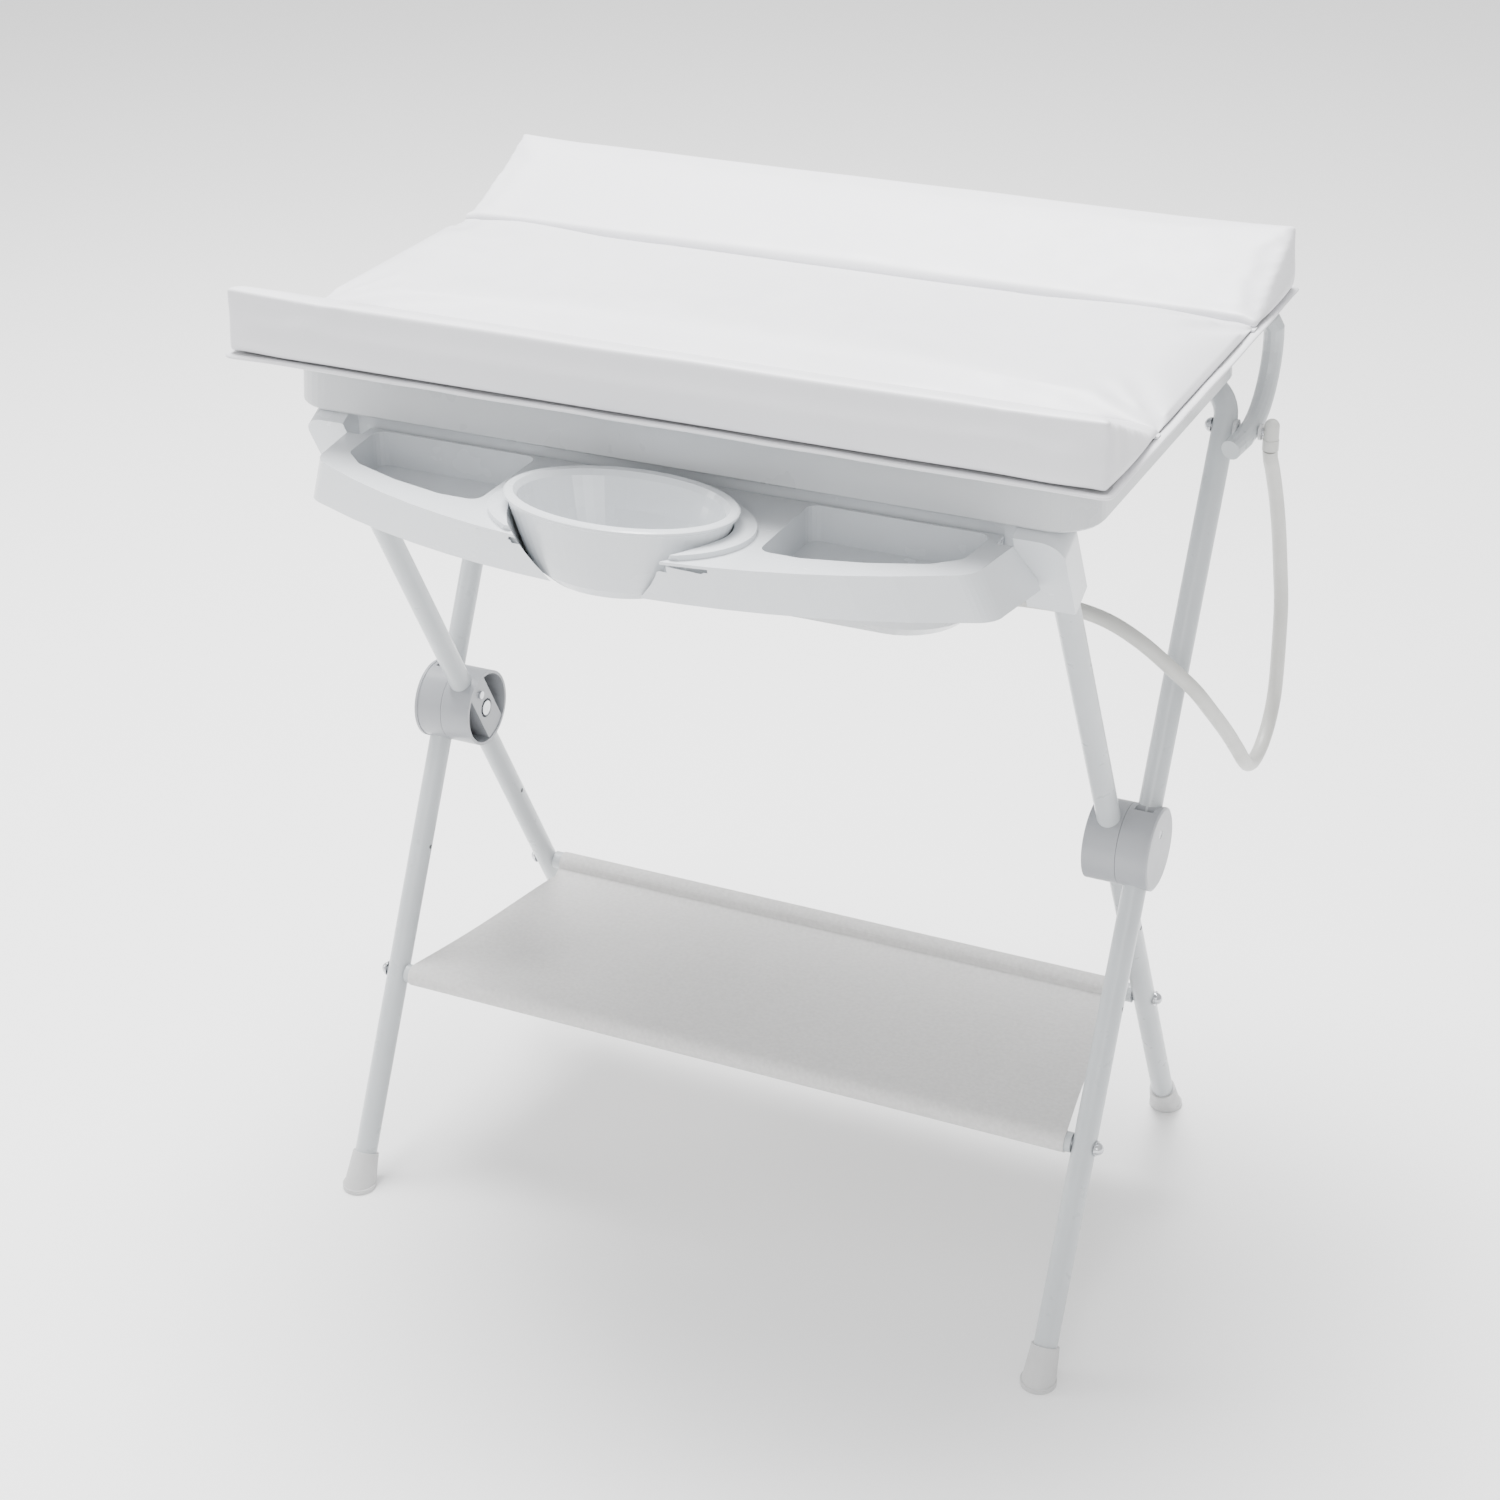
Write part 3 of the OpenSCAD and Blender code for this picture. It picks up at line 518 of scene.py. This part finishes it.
def make_edge_weld():
    """The welded edge of the cover: a thin lip all round."""
    out = 3.5 * MM
    half_x = PAD_X + out
    front, rear = front_lo.y - out, rear_hi.y + out
    middle, half_y = (front + rear) / 2, (rear - front) / 2
    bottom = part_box("pad_board")[1].z - 3 * MM
    line = divided(rounded_outline(half_x, front, rear, 9 * MM), 12 * MM)
    # Cross-section of the lip in millimetres, outwards and up
    section = [(-7, 3.2), (-3, 3.4), (-0.8, 3.0), (0, 2.2), (0, 1.2), (-0.8, 0.5), (-3, 0.2),
               (-7, 0.2)]
    # A high power keeps the outward direction square to the sides and turns it at the corners
    power = 14
    points = []
    for x, y in line:
        wave = 0.9 * MM * noise.noise(Vector((x * 22, y * 22, 0.5)))
        u, v = x / half_x, (y - middle) / half_y
        away = Vector((math.copysign(abs(u) ** power, u), math.copysign(abs(v) ** power, v)))
        away.normalize()
        for across, rise in section:
            points.append((x + away.x * across * MM, y + away.y * across * MM,
                           bottom + rise * MM + wave))
    n, m = len(line), len(section)
    faces = [[i * m + j, i * m + (j + 1) % m, ((i + 1) % n) * m + (j + 1) % m, ((i + 1) % n) * m + j]
             for i in range(n) for j in range(m)]
    lip = add("pad_edge_weld", mesh_of("pad_edge_weld", points, faces))
    smooth(lip, 60)
    finish_piece(lip, "pad_unit", "pad_vinyl")


def make_fold_weld(name, y):
    """The flat weld along a fold, dished along its middle."""
    half = 5 * MM
    low, middle, high = (FOAM_Z + rise * MM for rise in (0.4, 1.6, 2.4))
    strip = prism(name, PAD_X - 1 * MM, [(y - half, low), (y + half, low), (y + half, high),
                                         (y, middle), (y - half, high)])
    bevel = strip.modifiers.new("round", "BEVEL")
    bevel.width = 0.6 * MM
    bevel.segments = 2
    apply_modifiers(strip)
    smooth(strip)
    finish_piece(strip, "pad_unit", "pad_vinyl")


make_wedge("pad_front_cover", "pad_wedge_front", front_lo.y, front_hi.y, 1)
make_wedge("pad_rear_cover", "pad_wedge_rear", rear_hi.y, rear_lo.y, -1)
make_cushion()
make_edge_weld()
make_fold_weld("pad_front_fold_weld", FOLD_FRONT)
make_fold_weld("pad_rear_fold_weld", FOLD_REAR)


# ---------------------------------------------------------------- cloth shelf

BAR_R = 9.5 * MM
SLEEVE_R = BAR_R + 0.9 * MM
CLOTH_T = 1.1 * MM


def sleeve(y, z, first, step, count=14):
    """An arc round a bar, from the angle first and on by step, in degrees."""
    arc = []
    for k in range(count):
        a = math.radians(first + step * k)
        arc.append((y + SLEEVE_R * math.cos(a), z + SLEEVE_R * math.sin(a)))
    return arc


def shelf_profile(fy, fz, ry, rz):
    """Y and Z along the cloth: round the front bar, across, then up and round the rear bar."""
    start = (fy + 2 * MM, fz + SLEEVE_R)
    end = (ry - SLEEVE_R - 3 * MM, rz - SLEEVE_R + 1 * MM)
    span = 40
    across = []
    for k in range(1, span):
        t = k / span
        sag = -5 * MM * math.sin(math.pi * t)
        across.append((start[0] + (end[0] - start[0]) * t,
                       start[1] + (end[1] - start[1]) * t ** 3 + sag))
    return sleeve(fy, fz, -12, -20) + across + sleeve(ry, rz, 195, -25)


def make_shelf():
    """One cloth with a sewn sleeve round each bar."""
    bar_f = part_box("front_shelf_bar")
    bar_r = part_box("rear_shelf_bar")
    fy, fz = (bar_f[0].y + bar_f[1].y) / 2, (bar_f[0].z + bar_f[1].z) / 2
    ry, rz = (bar_r[0].y + bar_r[1].y) / 2, (bar_r[0].z + bar_r[1].z) / 2
    half_front = bar_f[1].x - 6 * MM
    half_rear = bar_r[1].x - 10 * MM
    profile = shelf_profile(fy, fz, ry, rz)
    columns = 110
    points = []
    for i in range(columns + 1):
        u = -1 + 2 * i / columns
        edge = max(0, (abs(u) - 0.9) / 0.1)
        for y, z in profile:
            t = min(1, max(0, (y - fy) / (ry - fy)))
            mid = math.sin(math.pi * t)
            half = half_front + (half_rear - half_front) * t
            x = u * half * (1 - 0.012 * mid)
            ripple = 0.0016 * noise.noise(Vector((x * 26, y * 5, 1.0))) * (0.35 + mid)
            ripple += 0.0011 * noise.noise(Vector((x * 60, y * 9, 7.0))) * (1 - 0.6 * mid)
            points.append((x, y, z + ripple * mid - 0.0018 * edge * mid))
    m = len(profile)
    faces = [[i * m + j, (i + 1) * m + j, (i + 1) * m + j + 1, i * m + j + 1]
             for i in range(columns) for j in range(m - 1)]
    cloth = add("shelf_cloth", mesh_of("shelf_cloth", points, faces))
    thick = cloth.modifiers.new("thick", "SOLIDIFY")
    thick.thickness = CLOTH_T
    thick.offset = 0
    apply_modifiers(cloth)
    smooth(cloth, 60)
    finish_piece(cloth, None, "shelf_cloth", "shelf")
    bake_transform(cloth)


make_shelf()


# ---------------------------------------------------------------- carried-over parts

# The rounding of each node's edges, in millimetres
SOFT_EDGE = {
    "tray": 1.6, "leg_socket_left": 3.0, "leg_socket_right": 3.0, "front_rail": 1.0,
    "hub_outer_left": 1.0, "hub_outer_right": 1.0, "hub_inner_left": 0.8, "hub_inner_right": 0.8,
    "front_feet": 1.0, "rear_feet": 1.0, "hub_caps": 0.4, "pad_board": 0.8, "pad_clips": 0.8,
    "rim_bumpers": 1.0, "hose_plug": 0.6}
REPLACED = {"drain_hose", "shelf", "pad_cushion", "pad_wedge_front", "pad_wedge_rear"}
SHARP_ANGLE = 32


def dress_nodes():
    """Gives each CAD node its material, and smooth shading and soft edges where it is seen."""
    slot_of = {part["node"]: part["material_slot"] for part in frame["record"]["subparts"]}
    for name, obj in nodes.items():
        obj.data.materials.clear()
        obj.data.materials.append(LOOKS[slot_of[name]])
        if name in REPLACED:
            continue
        smooth(obj, SHARP_ANGLE)
        if name in SOFT_EDGE:
            bevel = obj.modifiers.new("soft_edge", "BEVEL")
            bevel.width = SOFT_EDGE[name] * MM
            bevel.segments = 3
            bevel.limit_method = "ANGLE"
            bevel.angle_limit = math.radians(40)
            bevel.harden_normals = True


dress_nodes()


# ---------------------------------------------------------------- floor and light

FLOOR_HALF = 9
SKY_STRENGTH = 1.15


def emitter(name, place, target, size, power):
    data = bpy.data.lights.new(name, "AREA")
    data.energy = power
    data.size = size
    light = bpy.data.objects.new(name, data)
    bpy.context.scene.collection.objects.link(light)
    light.location = place
    light.rotation_euler = (Vector(target) - Vector(place)).to_track_quat("-Z", "Y").to_euler()


def make_stage():
    h = FLOOR_HALF
    floor = add("floor", mesh_of("floor", [(-h, -h, 0), (h, -h, 0), (h, h, 0), (-h, h, 0)],
                                 [[0, 1, 2, 3]]))
    paper = Shade("floor_paper", (0.93, 0.93, 0.93), 0.8)
    paper.tint(paper.noise(3), (0.925, 0.925, 0.925))
    floor.data.materials.append(paper.material)
    world = bpy.data.worlds.new("studio")
    bpy.context.scene.world = world
    world.use_nodes = True
    background = world.node_tree.nodes["Background"]
    background.inputs["Color"].default_value = (1, 1, 1, 1)
    background.inputs["Strength"].default_value = SKY_STRENGTH
    emitter("key_light", (-0.6, 0.6, 4.2), (0, 0, 0.5), 2.2, 520)
    emitter("fill_light", (0.9, -3.6, 2.2), (0, 0, 0.6), 1.4, 34)
    emitter("left_light", (-3.4, -0.8, 1.8), (0, 0, 0.6), 1.4, 50)


make_stage()

bpy.context.view_layer.update()
